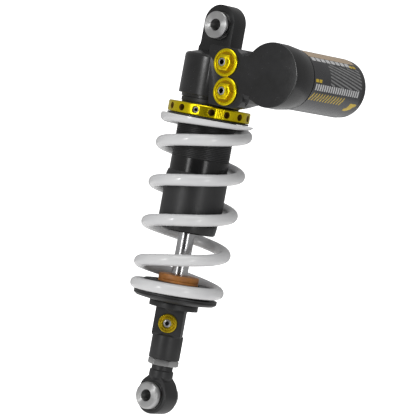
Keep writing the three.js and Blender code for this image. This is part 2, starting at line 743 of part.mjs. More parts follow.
place('bump_stop', 'foam', turnedAboutZ(
  [
    [ROD.r + GAP, BUMP.topZ], [BUMP.topR - 0.8, BUMP.topZ], [BUMP.topR, BUMP.topZ - 0.8],
    [BUMP.topR, -222], [BUMP.bottomR, -224], [BUMP.bottomR, BUMP.bottomZ],
    [ROD.r + GAP, BUMP.bottomZ],
  ],
  MEDIUM,
));
place('spring_perch', 'blackAnodised', springPerch());
place('rebound_housing', 'blackAnodised', reboundHousing());
place('rebound_cartridge', 'gold', reboundCartridge());
place('rebound_screw', 'steel', reboundScrew());
place('locknut', 'steel', locknut());
place('rod_end', 'blackAnodised', rodEnd());

// One spherical bearing with two spacers in each eye.
const EYES = [
  { eye: 'upper', z: 0, endY: 13.8, rimStartY: 11.6, chamfer: 0.3 },
  { eye: 'lower', z: LOWER_EYE_Z, endY: 16, rimStartY: 11.2, chamfer: 1.2 },
];
for (const { eye, z, endY, rimStartY, chamfer } of EYES) {
  place(`${eye}_bearing_race`, 'steel', bearingRace(), z);
  place(`${eye}_bearing_clip`, 'steel', bearingClip(), z);
  place(`${eye}_bearing_ball`, 'chrome', bearingBall(), z);
  place(`${eye}_spacer_front`, 'steel', eyeSpacer(endY, rimStartY, chamfer), z);
  place(`${eye}_spacer_back`, 'steel', backSide(eyeSpacer(endY, rimStartY, chamfer)), z);
}

export default shock;
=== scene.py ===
"""Looks of a motorcycle rear shock absorber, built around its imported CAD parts.

The frame is the CAD's: +Z up along the damper, origin at the centre of the upper eye, the
reservoir on the +X side and the valves facing -Y. Outlines are written in millimetres.
"""

import json
import math

import bmesh
import bpy
from mathutils import Matrix, Vector
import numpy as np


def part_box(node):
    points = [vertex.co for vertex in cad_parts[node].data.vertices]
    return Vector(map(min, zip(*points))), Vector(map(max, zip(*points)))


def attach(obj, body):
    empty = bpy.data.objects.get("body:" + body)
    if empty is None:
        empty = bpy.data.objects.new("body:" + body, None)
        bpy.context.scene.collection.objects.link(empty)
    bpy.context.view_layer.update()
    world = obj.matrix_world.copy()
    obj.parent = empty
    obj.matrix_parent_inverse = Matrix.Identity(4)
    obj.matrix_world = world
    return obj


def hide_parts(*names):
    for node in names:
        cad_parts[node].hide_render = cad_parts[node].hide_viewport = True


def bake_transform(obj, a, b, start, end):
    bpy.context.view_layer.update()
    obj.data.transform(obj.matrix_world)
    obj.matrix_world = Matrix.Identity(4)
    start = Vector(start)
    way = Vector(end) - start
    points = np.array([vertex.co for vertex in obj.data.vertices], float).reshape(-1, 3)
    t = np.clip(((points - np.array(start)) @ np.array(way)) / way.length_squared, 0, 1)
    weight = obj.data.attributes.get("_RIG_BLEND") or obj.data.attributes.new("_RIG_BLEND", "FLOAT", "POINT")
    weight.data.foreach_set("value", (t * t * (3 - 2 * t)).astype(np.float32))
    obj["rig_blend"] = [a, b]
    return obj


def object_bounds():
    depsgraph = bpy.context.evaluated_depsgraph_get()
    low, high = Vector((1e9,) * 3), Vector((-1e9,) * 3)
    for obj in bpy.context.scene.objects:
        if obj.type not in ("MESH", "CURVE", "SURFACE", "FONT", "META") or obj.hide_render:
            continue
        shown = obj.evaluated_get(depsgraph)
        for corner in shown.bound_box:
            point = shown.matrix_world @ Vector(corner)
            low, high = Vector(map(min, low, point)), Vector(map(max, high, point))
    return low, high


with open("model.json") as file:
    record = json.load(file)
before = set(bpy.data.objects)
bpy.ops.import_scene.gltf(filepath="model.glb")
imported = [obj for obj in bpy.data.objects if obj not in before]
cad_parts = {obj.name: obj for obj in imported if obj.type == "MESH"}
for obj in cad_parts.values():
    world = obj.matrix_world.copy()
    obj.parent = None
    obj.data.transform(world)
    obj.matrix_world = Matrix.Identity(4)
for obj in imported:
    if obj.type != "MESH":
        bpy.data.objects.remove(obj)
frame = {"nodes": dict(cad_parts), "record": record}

cad_low, cad_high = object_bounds()

MM = 0.001
LOWER_EYE_Z = -317.5
SHARP_DEGREES = 32  # edges bent more than this stay sharp
EYE_BORE_R = 12.2
SPACER_BORE_R = 5.1
BODY_OF = {
    node: body
    for body, nodes in frame["record"]["behaviour"]["bodies"].items()
    for node in nodes
}


def box_mm(node):
    """Lowest and highest corner of a CAD node, in millimetres."""
    low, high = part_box(node)
    return low / MM, high / MM


def centre_mm(node):
    low, high = box_mm(node)
    return (low + high) / 2


# ---------------------------------------------------------------- camera

CAMERA_AZIMUTH = math.radians(36)
CAMERA_ELEVATION = math.radians(2.3)
CAMERA_ROLL = math.radians(10.4)
CAMERA_DISTANCE = 2.6
PICTURE_WIDTH = 0.355  # what the camera sees across at the target
CAMERA_TARGET = Vector((12.7, 9.2, -154.5)) * MM


def make_camera():
    back = Vector((
        math.sin(CAMERA_AZIMUTH) * math.cos(CAMERA_ELEVATION),
        -math.cos(CAMERA_AZIMUTH) * math.cos(CAMERA_ELEVATION),
        math.sin(CAMERA_ELEVATION),
    ))
    right = Vector((math.cos(CAMERA_AZIMUTH), math.sin(CAMERA_AZIMUTH), 0))
    up = back.cross(right)
    tilted_up = up * math.cos(CAMERA_ROLL) - right * math.sin(CAMERA_ROLL)
    tilted_right = tilted_up.cross(back)
    data = bpy.data.cameras.new("camera")
    data.sensor_width = 36
    data.lens = data.sensor_width * CAMERA_DISTANCE / PICTURE_WIDTH
    data.clip_start = 0.05
    data.clip_end = 20
    camera = bpy.data.objects.new("camera", data)
    bpy.context.scene.collection.objects.link(camera)
    turn = Matrix((tilted_right, tilted_up, back)).transposed()
    camera.matrix_world = (
        Matrix.Translation(CAMERA_TARGET + back * CAMERA_DISTANCE) @ turn.to_4x4()
    )
    bpy.context.scene.camera = camera
    return back


TO_CAMERA = make_camera()

# ---------------------------------------------------------------- meshes


def new_object(name, points, faces, at=(0, 0, 0)):
    """A smooth mesh object from points in mm round `at`."""
    mesh = bpy.data.meshes.new(name)
    mesh.from_pydata([Vector(p) * MM for p in points], [], faces)
    obj = bpy.data.objects.new(name, mesh)
    obj.location = Vector(at) * MM
    bpy.context.scene.collection.objects.link(obj)
    tidy_mesh(mesh)
    return obj


def shade(mesh, sharp_degrees=SHARP_DEGREES):
    """Smooth shading that keeps only real edges sharp."""
    mesh.shade_smooth()
    mesh.set_sharp_from_angle(angle=math.radians(sharp_degrees))


def tidy_mesh(mesh):
    """Merges doubles, turns the faces out, and shades the mesh."""
    work = bmesh.new()
    work.from_mesh(mesh)
    bmesh.ops.remove_doubles(work, verts=work.verts, dist=1e-7)
    bmesh.ops.recalc_face_normals(work, faces=work.faces)
    work.to_mesh(mesh)
    work.free()
    shade(mesh)


def filleted(outline, radius, steps=3):
    """Rounds the corners of a closed outline. Corners on the axis stay."""
    rounded = []
    count = len(outline)
    for i, corner in enumerate(outline):
        here = Vector(corner[:2])
        reach = corner[2] if len(corner) > 2 else radius
        before = Vector(outline[i - 1][:2]) - here
        after = Vector(outline[(i + 1) % count][:2]) - here
        turn = math.pi - before.angle(after)
        if here.x == 0 or reach == 0 or turn < math.radians(8):
            rounded.append(tuple(here))
            continue
        back = min(reach * math.tan(turn / 2), 0.45 * before.length, 0.45 * after.length)
        start = here + before.normalized() * back
        end = here + after.normalized() * back
        for k in range(steps + 1):
            t = k / steps
            rounded.append(tuple(start * (1 - t) ** 2 + here * 2 * t * (1 - t) + end * t * t))
    return rounded


def turned(name, outline, axis="Z", at=(0, 0, 0), segments=96, fillet=0.3):
    """Turns a closed (radius, height) outline about an axis through `at`."""
    outline = filleted(outline, fillet)
    points, rings = [], []
    for r, h in outline:
        if r < 1e-6:
            rings.append([len(points)] * segments)
            points.append((0, 0, h) if axis == "Z" else (0, h, 0))
            continue
        rings.append(list(range(len(points), len(points) + segments)))
        for k in range(segments):
            angle = 2 * math.pi * k / segments
            a, b = r * math.cos(angle), r * math.sin(angle)
            points.append((a, b, h) if axis == "Z" else (a, h, b))
    faces = []
    for i, ring in enumerate(rings):
        following = rings[(i + 1) % len(rings)]
        for k in range(segments):
            n = (k + 1) % segments
            corners = [ring[k], ring[n], following[n], following[k]]
            face = [c for j, c in enumerate(corners) if c != corners[j - 1]]
            if len(face) > 2:
                faces.append(face)
    return new_object(name, points, faces, at)


def prism(name, outline, place, at=(0, 0, 0)):
    """A prism between two copies of an outline. `place(a, b, end)` gives each corner."""
    count = len(outline)
    points = [place(a, b, end) for end in (0, 1) for a, b in outline]
    faces = [list(range(count)), list(range(count, 2 * count))]
    for i in range(count):
        n = (i + 1) % count
        faces.append([i, n, n + count, i + count])
    return new_object(name, points, faces, at)


def plate_y(name, outline, from_y, to_y, at=(0, 0, 0)):
    """A plate whose (x, z) outline runs from one Y to another."""
    return prism(name, outline, lambda a, b, end: (a, to_y if end else from_y, b), at)


def bar_x(name, outline, from_x, to_x, at=(0, 0, 0)):
    return prism(name, outline, lambda a, b, end: (to_x if end else from_x, a, b), at)


def plate_z(name, outline, from_z, to_z, at=(0, 0, 0)):
    return prism(name, outline, lambda a, b, end: (a, b, to_z if end else from_z), at)


def hexagon(across_flats, turn_degrees=0):
    """Corners of a hexagon, the first at the given angle."""
    radius = across_flats / math.sqrt(3)
    turn = math.radians(turn_degrees)
    return [
        (radius * math.cos(turn + k * math.pi / 3), radius * math.sin(turn + k * math.pi / 3))
        for k in range(6)
    ]


def ball_outline(radius, steps=16):
    """Half circle that turns into a ball."""
    angles = [math.pi * k / steps for k in range(steps + 1)]
    return [
        (0, -radius), *((radius * math.sin(a), -radius * math.cos(a)) for a in angles[1:-1]),
        (0, radius),
    ]


def cylinder(name, radius, low, high, axis="Z", at=(0, 0, 0), segments=96):
    outline = [(0, low), (radius, low), (radius, high), (0, high)]
    return turned(name, outline, axis, at, segments, fillet=0)


def bake(obj):
    """Replaces the mesh by what its modifiers make."""
    bpy.context.view_layer.update()
    graph = bpy.context.evaluated_depsgraph_get()
    mesh = bpy.data.meshes.new_from_object(obj.evaluated_get(graph))
    obj.modifiers.clear()
    obj.data = mesh
    tidy_mesh(mesh)
    return obj


def combine(obj, tools, operation):
    """Boolean of obj with each tool. The tools are used up."""
    for tool in tools:
        step = obj.modifiers.new("boolean", "BOOLEAN")
        step.operation = operation
        step.solver = "EXACT"
        step.object = tool
        bake(obj)
        bpy.data.objects.remove(tool)
    return obj


def add(obj, *tools):
    return combine(obj, tools, "UNION")


def cut(obj, *tools):
    return combine(obj, tools, "DIFFERENCE")


def common(obj, *tools):
    return combine(obj, tools, "INTERSECT")


def bevel(obj, width, segments=3, degrees=30):
    step = obj.modifiers.new("edges", "BEVEL")
    step.width = width * MM
    step.segments = segments
    step.limit_method = "ANGLE"
    step.angle_limit = math.radians(degrees)
    step.miter_outer = "MITER_ARC"
    return bake(obj)


def merge(obj, *others):
    """Puts the meshes of others into obj, without joining their surfaces."""
    work = bmesh.new()
    work.from_mesh(obj.data)
    bpy.context.view_layer.update()
    for other in others:
        mesh = other.data
        mesh.transform(obj.matrix_world.inverted() @ other.matrix_world)
        work.from_mesh(mesh)
        bpy.data.objects.remove(other)
    work.to_mesh(obj.data)
    work.free()
    shade(obj.data)
    return obj


def turn_z(obj, degrees):
    """Turns an object about the damper axis."""
    bpy.context.view_layer.update()
    obj.matrix_world = Matrix.Rotation(math.radians(degrees), 4, "Z") @ obj.matrix_world
    return obj


# ---------------------------------------------------------------- materials


class Look:
    """A node material round one Principled shader, with helpers for its detail."""

    def __init__(self, name, metallic=0.0, roughness=0.5):
        self.material = bpy.data.materials.new(name)
        self.material.use_nodes = True
        self.nodes = self.material.node_tree.nodes
        self.links = self.material.node_tree.links
        self.shader = self.nodes["Principled BSDF"]
        self.shader.inputs["Metallic"].default_value = metallic
        self.shader.inputs["Roughness"].default_value = roughness
        self.place = self.nodes.new("ShaderNodeTexCoord").outputs["Object"]
        self.height = None

    def noise(self, scale, detail=3, stretch=(1, 1, 1)):
        mapping = self.nodes.new("ShaderNodeMapping")
        mapping.inputs["Scale"].default_value = stretch
        self.links.new(self.place, mapping.inputs["Vector"])
        node = self.nodes.new("ShaderNodeTexNoise")
        node.inputs["Scale"].default_value = scale
        node.inputs["Detail"].default_value = detail
        self.links.new(mapping.outputs["Vector"], node.inputs["Vector"])
        return node.outputs["Fac"]

    def rings(self, axis, period):
        """Turning marks: rings about an axis, `period` mm apart."""
        node = self.nodes.new("ShaderNodeTexWave")
        node.wave_type = "RINGS"
        node.rings_direction = axis
        node.inputs["Scale"].default_value = math.pi / (10 * period * MM)
        node.inputs["Distortion"].default_value = 0.6
        self.links.new(self.place, node.inputs["Vector"])
        return node.outputs["Fac"]

    def spread(self, fac, low, high):
        """Maps a 0.3 to 0.7 noise onto low to high."""
        node = self.nodes.new("ShaderNodeMapRange")
        node.inputs["From Min"].default_value = 0.3
        node.inputs["From Max"].default_value = 0.7
        node.inputs["To Min"].default_value = low
        node.inputs["To Max"].default_value = high
        self.links.new(fac, node.inputs["Value"])
        return node.outputs["Result"]

    def colour(self, dark, light, fac):
        node = self.nodes.new("ShaderNodeMix")
        node.data_type = "RGBA"
        node.inputs["A"].default_value = (*dark, 1)
        node.inputs["B"].default_value = (*light, 1)
        self.links.new(self.spread(fac, 0, 1), node.inputs["Factor"])
        self.links.new(node.outputs["Result"], self.shader.inputs["Base Color"])

    def rough(self, low, high, fac):
        self.links.new(self.spread(fac, low, high), self.shader.inputs["Roughness"])

    def bump(self, fac, depth):
        """Adds relief, `depth` mm high."""
        node = self.nodes.new("ShaderNodeBump")
        node.inputs["Strength"].default_value = 1
        node.inputs["Distance"].default_value = depth * MM
        self.links.new(fac, node.inputs["Height"])
        if self.height:
            self.links.new(self.height, node.inputs["Normal"])
        self.height = node.outputs["Normal"]
        self.links.new(self.height, self.shader.inputs["Normal"])

    def brushed(self, axis, amount):
        """Anisotropic shine round an axis, as turning leaves it."""
        tangent = self.nodes.new("ShaderNodeTangent")
        tangent.direction_type = "RADIAL"
        tangent.axis = axis
        self.shader.inputs["Anisotropic"].default_value = amount
        self.shader.inputs["Anisotropic Rotation"].default_value = 0.25
        self.links.new(tangent.outputs["Tangent"], self.shader.inputs["Tangent"])


def black_anodised(name, level, roughness):
    look = Look(name)
    look.colour((level * 0.8,) * 3, (level * 1.15, level * 1.15, level * 1.2), look.noise(60))
    look.rough(roughness - 0.03, roughness + 0.04, look.noise(220, 4))
    look.bump(look.noise(2600, 2), 0.0005)
    look.shader.inputs["Specular IOR Level"].default_value = 0.4
    return look.material


def gold_anodised(name, axis, dark=(0.68, 0.52, 0.0), light=(0.86, 0.7, 0.006)):
    look = Look(name, metallic=0.85)
    look.colour(dark, light, look.noise(90))
    look.rough(0.26, 0.3, look.noise(120))
    look.bump(look.rings(axis, 0.35), 0.0001)
    look.brushed(axis, 0.5)
    return look.material


def steel(name, axis, level=0.52, low=0.3, high=0.36):
    look = Look(name, metallic=0.9)
    look.colour((level * 0.92,) * 3, (level, level, level * 0.99), look.noise(120))
    look.rough(low, high, look.noise(160))
    look.bump(look.rings(axis, 0.3), 0.0001)
    look.brushed(axis, 0.95)
    return look.material


def chrome():
    look = Look("hard chrome", metallic=1.0)
    look.colour((0.56, 0.56, 0.57), (0.64, 0.64, 0.65), look.noise(90))
    look.rough(0.2, 0.27, look.noise(500, 4, (8, 8, 1)))
    look.bump(look.noise(1500, 2, (1, 1, 12)), 0.001)
    return look.material


def white_paint():
    look = Look("white powder coat")
    look.colour((0.64, 0.64, 0.65), (0.69, 0.69, 0.69), look.noise(45))
    look.rough(0.13, 0.18, look.noise(200))
    look.bump(look.noise(500, 2), 0.006)
    return look.material


def matt_plastic():
    look = Look("matt black plastic")
    look.colour((0.018, 0.018, 0.019), (0.026, 0.026, 0.027), look.noise(35))
    look.rough(0.38, 0.46, look.noise(300, 4))
    look.bump(look.noise(1900, 3), 0.008)
    return look.material


def rubber():
    look = Look("black rubber")
    look.colour((0.012, 0.012, 0.012), (0.022, 0.022, 0.022), look.noise(80))
    look.rough(0.6, 0.8, look.noise(500))
    look.bump(look.noise(1600, 3), 0.02)
    return look.material


def bump_foam():
    look = Look("brown polyurethane")
    look.colour((0.36, 0.13, 0.025), (0.6, 0.24, 0.05), look.noise(120, 5))
    look.rough(0.42, 0.56, look.noise(300))
    look.bump(look.noise(900, 4), 0.03)
    look.shader.inputs["Subsurface Weight"].default_value = 0.08
    look.shader.inputs["Subsurface Radius"].default_value = (0.003, 0.0015, 0.0008)
    return look.material


def bronze():
    look = Look("piston bronze", metallic=1.0)
    look.colour((0.3, 0.17, 0.06), (0.42, 0.25, 0.1), look.noise(200))
    look.rough(0.3, 0.45, look.noise(600))
    look.bump(look.rings("Z", 0.4), 0.005)
    return look.material


def film():
    look = Look("printed film")
    look.colour((0.03, 0.03, 0.032), (0.042, 0.042, 0.045), look.noise(50))
    look.rough(0.22, 0.32, look.noise(350))
    look.bump(look.noise(260, 2), 0.01)
    return look.material


def matt_shade(name, level):
    """Painted shade for the inside of a small hole: dark and dull."""
    look = Look(name, metallic=0.3)
    look.colour(tuple(c * 0.7 for c in level), level, look.noise(400))
    look.rough(0.5, 0.7, look.noise(600))
    look.bump(look.noise(1500, 2), 0.003)
    return look.material


def ink(name, dark, light):
    look = Look(name)
    look.colour(dark, light, look.noise(260))
    look.rough(0.3, 0.42, look.noise(500))
    look.bump(look.noise(1200, 2), 0.004)
    return look.material


BLACK = black_anodised("black anodised", 0.018, 0.24)
BLACK_TUBE = black_anodised("black hard anodised", 0.014, 0.19)
DULL_BLACK = black_anodised("dull black anodised", 0.02, 0.42)
GOLD_Y = gold_anodised("gold anodised, turned about Y", "Y")
GOLD_Z = gold_anodised("gold anodised, turned about Z", "Z")
DARK_GOLD = gold_anodised("dark gold anodised", "Y", (0.5, 0.35, 0.01), (0.64, 0.48, 0.02))
STEEL_Y = steel("steel, turned about Y", "Y")
STEEL_Z = steel("steel, turned about Z", "Z", 0.4)
# Darker steel for the race, clip and grub screw; the spacer bores also get it as painted shade.
DARK_STEEL = steel("oiled steel, painted shade in bores", "Y", 0.24, 0.35, 0.5)
CHROME = chrome()
WHITE = white_paint()
PLASTIC = matt_plastic()
RUBBER = rubber()
FOAM = bump_foam()
BRONZE = bronze()
FILM = film()
SHADE = matt_shade("deep shade", (0.006, 0.006, 0.007))
# Darker, more orange gold for the hollow ring of the valve discs: painted shade.
GOLD_RECESS_SHADE = gold_anodised("gold recess", "Y", (0.42, 0.24, 0.004), (0.52, 0.33, 0.006))
GOLD_SHADE = matt_shade("gold in shade", (0.2, 0.11, 0.012))
INK_GREY = ink("grey ink", (0.17, 0.17, 0.17), (0.23, 0.23, 0.23))
INK_WHITE = ink("white ink", (0.5, 0.5, 0.5), (0.62, 0.62, 0.62))
# Tan for the band near the top of the reservoir: a painted reflection of the light from above.
TAN_SHEEN = ink("tan painted reflection", (0.4, 0.3, 0.2), (0.5, 0.38, 0.26))
INK_YELLOW = ink("yellow ink", (0.5, 0.34, 0.02), (0.62, 0.44, 0.03))


def stands_for(obj, node, material):
    """obj is the fine version of a CAD node: it rides on the node's body in its place."""
    obj.data.materials.clear()
    obj.data.materials.append(material)
    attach(obj, BODY_OF[node])
    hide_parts(node)
    return obj


def faces_where(obj, wanted):
    """Indices of the faces whose centre, in mm from the object's origin, passes the test."""
    return [face.index for face in obj.data.polygons if wanted(face.center / MM)]


def second_look(obj, faces, material):
    """Gives some faces another material."""
    obj.data.materials.append(material)
    for index in faces:
        obj.data.polygons[index].material_index = 1


# ---------------------------------------------------------------- head

FACE_Y = -26.2
CAP_R = 28.5
TUBE_R = 24.6
VALVE_BORE_R = 11
SOCKET_DEPTH = 4
HIGH_VALVE = centre_mm("valve_high_screw")
LOW_VALVE = centre_mm("valve_low_screw")
RESERVOIR = centre_mm("reservoir_tube")
RES_X, RES_Z = RESERVOIR.x, RESERVOIR.z
RES_R = (box_mm("reservoir_tube")[1] - box_mm("reservoir_tube")[0]).z / 2


def lug_outline():
    half, arch_z, steps = 15.5, 2.2, 48
    outline = []
    for k in range(steps + 1):
        angle = math.pi * k / steps
        outline.append((half * math.cos(angle), arch_z + half * math.sin(angle)))
    foot = [(15.5, -16.2), (15.9, -18.2), (16.9, -19.9), (16.9, -28)]
    return outline + [(-x, z) for x, z in foot] + foot[::-1]


def bank():
    """The bank leans along the line through the two valves. Its underside rises to the back."""
    lean = (LOW_VALVE.x - HIGH_VALVE.x) / (LOW_VALVE.z - HIGH_VALVE.z)
    top, bottom, half = -17, -66.6, 17.8

    def side(z, half_width):
        return HIGH_VALVE.x + lean * (z - HIGH_VALVE.z) + half_width, z

    outline = filleted([
        side(top, -half), side(bottom, -half), (42, bottom, 5), (47.5, -64), (50.4, -60),
        side(-56, half), side(top, half),
    ], 3, 5)
    section = filleted([
        (FACE_Y, bottom, 0.5), (-16, bottom), (-11, -64), (-2, -58), (12, -38), (14, -36),
        (14, top), (FACE_Y, top, 0.5),
    ], 4, 4)
    plate = plate_y("bank", outline, FACE_Y, 14)
    return common(plate, bar_x("bank section", section, 0, 60))


def web():
    """Joins the bank to the cup, rounded in front."""
    outline = filleted([
        (36, -17), (58, -17), (60, -30), (56, -57), (53.5, -60, 4), (46.5, -64.3, 8),
        (40, -65.2, 8), (36, -65.2),
    ], 0.5, 6)
    section = filleted([
        (FACE_Y, -55.5, 6), (FACE_Y, -21, 3.5), (-20.5, -17, 6), (12, -17, 4), (12, -38, 4),
        (-2, -58, 6), (-12, -65.2, 6), (-15, -65.2, 14),
    ], 1, 8)
    plate = plate_y("web", outline, FACE_Y - 1, 14)
    return common(plate, bar_x("web section", section, 30, 70))


def head_block():
    head = turned("head_block_fine", [
        (0, -21.8), (15, -22.2), (27.2, -26), (CAP_R, -27.8), (CAP_R, -60.6, 0.5),
        (25.7, -60.6, 0.2), (25.7, -63.2, 0.2), (0, -63.2),
    ], segments=128, fillet=0.9)
    cup = turned("cup", [
        (0, FACE_Y), (27.3, FACE_Y, 1.1), (27.3, -12, 3), (26, 1, 0.5), (0, 1),
    ], "Y", (RES_X, 0, RES_Z), 128, 0.5)
    add(
        head,
        plate_y("lug", lug_outline(), -8.5, 8.5),
        bank(),
        web(),
    )
    cut(head, turned("scoop", ball_outline(14), "Y", (46, -32, -9), 64, 0))
    add(head, cup)
    cut(
        head,
        cylinder("collar room", 25.4, -70, -63.2),
        cylinder("reservoir bore", RES_R + 0.15, -20, 80, "Y", (RES_X, 0, RES_Z)),
        cylinder("eye bore", EYE_BORE_R, -12, 12, "Y"),
        *(
            cylinder("valve bore", VALVE_BORE_R, FACE_Y - 1, FACE_Y + 0.6, "Y", (valve.x, 0, valve.z))
            for valve in (HIGH_VALVE, LOW_VALVE)
        ),
    )
    bevel(head, 0.7)
    stands_for(head, "head_block", BLACK)


def valve_cartridge(node, centre):
    """Gold disc with a hexagon and a round hub, bored for a steel socket screw."""
    body = turned(node + "_fine", [
        (3.75, -33.3), (4.9, -33.3, 0.35), (5.6, -31.4, 0.5), (5.6, -27.2), (8.9, -27.2, 0.4),
        (9.5, -28.2, 0.4), (11.2, -28.2), (11.85, -27.5), (11.85, -26.5), (3.75, -26.5),
    ], "Y", (centre.x, 0, centre.z), 96, 0.15)
    nut = plate_y("hexagon", hexagon(13), -30.6, -27, (centre.x, 0, centre.z))
    cone = turned("cone", [(0, -30.7), (6.3, -30.7), (8, -29.8), (8, -26.6), (0, -26.6)],
                  "Y", (centre.x, 0, centre.z), 64, 0)
    bore = cylinder("bore", 4.2, -32, -26, "Y", (centre.x, 0, centre.z), 64)
    nut = bevel(cut(common(nut, cone), bore), 0.25, 2)
    stands_for(merge(body, nut), node, GOLD_Y)
    # The ring-shaped hollow between hub and rim gets the darker gold: painted shade.
    recess_from_r, recess_to_r = 5.7, 8.9
    recess = faces_where(body, lambda p: (
        recess_from_r < math.hypot(p.x, p.z) < recess_to_r and -27.5 < p.y < -27
    ))
    second_look(body, recess, GOLD_RECESS_SHADE)


def socket_screw(node, radius, across_flats, front, back, at, turn=0, material=STEEL_Y):
    """Steel screw along Y with a hexagonal socket."""
    screw = turned(node + "_fine", [(0, front), (radius, front), (radius, back), (0, back)],
                   "Y", at, 64, 0.35)
    floor_y = front + SOCKET_DEPTH
    cut(screw, plate_y("socket", hexagon(across_flats, 15), front - 1, floor_y, at))
    inside_r = across_flats / math.sqrt(3) + 0.05
    inside = faces_where(screw, lambda p: (
        math.hypot(p.x, p.z) < inside_r and front + 0.3 < p.y < floor_y + 0.1
    ))
    if turn:
        turn_z(screw, turn)
    stands_for(screw, node, material)
    second_look(screw, inside, SHADE)


# ---------------------------------------------------------------- reservoir


HATCH_STEP = 6.8  # degrees between two lines
HATCH_SLOPE = 0.55  # degrees each line turns per mm
FILM_FROM_DEGREES, FILM_SPREAD_DEGREES = -112.5, 210
FILM_STANDOFF, FILM_THICKNESS = 0.3, 0.3


def on_tube(name, rows, material):
    """A thin layer of colour on the reservoir: print, and a band of painted reflection. rows are (y, angle
    from, angle to), in mm and degrees.
    """
    radius, thickness, steps = RES_R + 0.62, 0.05, 5
    points, faces = [], []
    for y, low, high in rows:
        for k in range(steps + 1):
            angle = math.radians(low + (high - low) * k / steps)
            for r in (radius, radius + thickness):
                points.append((r * math.cos(angle), y, r * math.sin(angle)))
    across = 2 * (steps + 1)
    for i in range(len(rows) - 1):
        base, following = i * across, (i + 1) * across
        for k in range(steps):
            a, b = 2 * k, 2 * k + 2
            faces.append([base + a, base + b, following + b, following + a])
            faces.append([base + a + 1, following + a + 1, following + b + 1, base + b + 1])
        for a in (0, across - 2):
            faces.append([base + a, following + a, following + a + 1, base + a + 1])
    for base in (0, (len(rows) - 1) * across):
        for k in range(steps):
            a, b = base + 2 * k, base + 2 * k + 2
            faces.append([a, a + 1, b + 1, b])
    obj = new_object(name, points, faces, (RES_X, 0, RES_Z))
    obj.data.materials.append(material)
    return obj


def slanted(name, y_from, y_to, start, slope, half_width, limits, material):
    """A line on the reservoir that turns `slope` degrees per mm, kept within the limits."""
    rows = []
    steps = 16
    for k in range(steps + 1):
        y = y_from + (y_to - y_from) * k / steps
        angle = start - slope * (y - y_from)
        if limits[0] <= angle <= limits[1]:
            rows.append((y, angle - half_width, angle + half_width))
    return on_tube(name, rows, material) if len(rows) > 1 else None


def prints():
    """Plain bars, stripes and a block of colour in place of a maker's graphics, and a tan band near the top
    of the tube that is a painted reflection.
    """
    hatch = []
    for k in range(11):
        start = 66 - HATCH_STEP * k
        line = slanted(f"hatch {k}", 27, 74, start, HATCH_SLOPE, 1.6, (0, 44), INK_GREY)
        if line:
            hatch.append(line)
    bars = []
    for k in range(20):
        y = 6 + 3.3 * k
        bars.append(on_tube(f"bar {k}", [(y, -12.5, 0), (y + 1.9, -12.5, 0)], INK_WHITE))
    for k in range(8):
        y = 6 + 7.2 * k
        bars.append(on_tube(f"patch {k}", [(y, 47, 56), (y + 5.6, 47, 56)], INK_WHITE))
    # The tan band along the top of the tube is a painted reflection of the light from above.
    tan = [on_tube("band", [(4, 57, 80), (73, 57, 80)], TAN_SHEEN)]
    slants = []
    for k in range(12):
        y = 4 + 4.1 * k
        rows = [(y, -34, -32.8), (y + 1.2, -34, -25), (y + 3.2, -25.5, -17.5), (y + 4, -19, -17)]
        slants.append(on_tube(f"slant {k}", rows, INK_YELLOW))
    for k, (y, angle) in enumerate([(5, 3), (10, 3), (62, 46), (67, 46)]):
        slants.append(on_tube(f"mark {k}", [(y, angle, angle + 6), (y + 4, angle, angle + 6)],
                              INK_YELLOW))
    flag = [(61, -45, -40), (65, -46, -26), (70, -40, -26), (74, -30, -26)]
    slants.append(on_tube("flag", flag, INK_YELLOW))
    groups = {"hatch": hatch, "bars_white": bars, "band": tan, "bars_yellow": slants}
    for name, pieces in groups.items():
        obj = merge(*pieces)
        obj.name = obj.data.name = "reservoir_" + name
        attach(obj, BODY_OF["reservoir_wrap"])


def reservoir():
    at = (RES_X, 0, RES_Z)
    end_y = box_mm("reservoir_tube")[1].y
    tube = turned("reservoir_tube_fine", [
        (22.9, -19.7), (RES_R, -19.7), (RES_R, end_y, 1.2), (22.9, end_y, 0.3),
    ], "Y", at, 128)
    stands_for(tube, "reservoir_tube", BLACK)
    low, high = box_mm("reservoir_wrap")
    radius = RES_R + FILM_STANDOFF
    outline = []
    steps = 96
    for r, order in ((radius + FILM_THICKNESS, 1), (radius, -1)):
        for k in range(steps + 1)[::order]:
            angle = math.radians(FILM_FROM_DEGREES + FILM_SPREAD_DEGREES * k / steps)
            outline.append((r * math.cos(angle), r * math.sin(angle)))
    stands_for(plate_y("reservoir_wrap_fine", outline, low.y, high.y, at), "reservoir_wrap", FILM)
    cap = turned("reservoir_end_cap_fine", [
        (3.4, 69.9), (22.6, 69.9), (22.6, 78.5), (20, 78.5), (18.6, 75.5), (7.4, 75.5),
        (6.6, 76.7), (3.4, 76.7),
    ], "Y", at, 96)
    stands_for(cap, "reservoir_end_cap", BLACK)
    clip = turned("reservoir_clip_fine", [
        (20.9, 78.9), (22.6, 78.9), (22.6, 80), (20.9, 80),
    ], "Y", at, 96, 0.4)
    stands_for(clip, "reservoir_clip", STEEL_Y)
    stem = turned("gas_valve_stem_fine", [(0, 71.9), (3, 71.9), (3, 78.4), (0, 78.4)], "Y", at, 48)
    stands_for(stem, "gas_valve_stem", STEEL_Y)
    valve = turned("gas_valve_cap_fine", [(0, 78.7), (4.6, 78.7), (4.6, 81.3, 1), (0, 81.3)],
                   "Y", at, 48)
    ribs = [
        plate_y("rib", hexagon(8.6, 10 * k), 78.8, 80.7, at) for k in range(6)
    ]
    stands_for(merge(valve, *ribs), "gas_valve_cap", RUBBER)
    prints()


# ---------------------------------------------------------------- damper body

THREAD_END_Z = -113.5


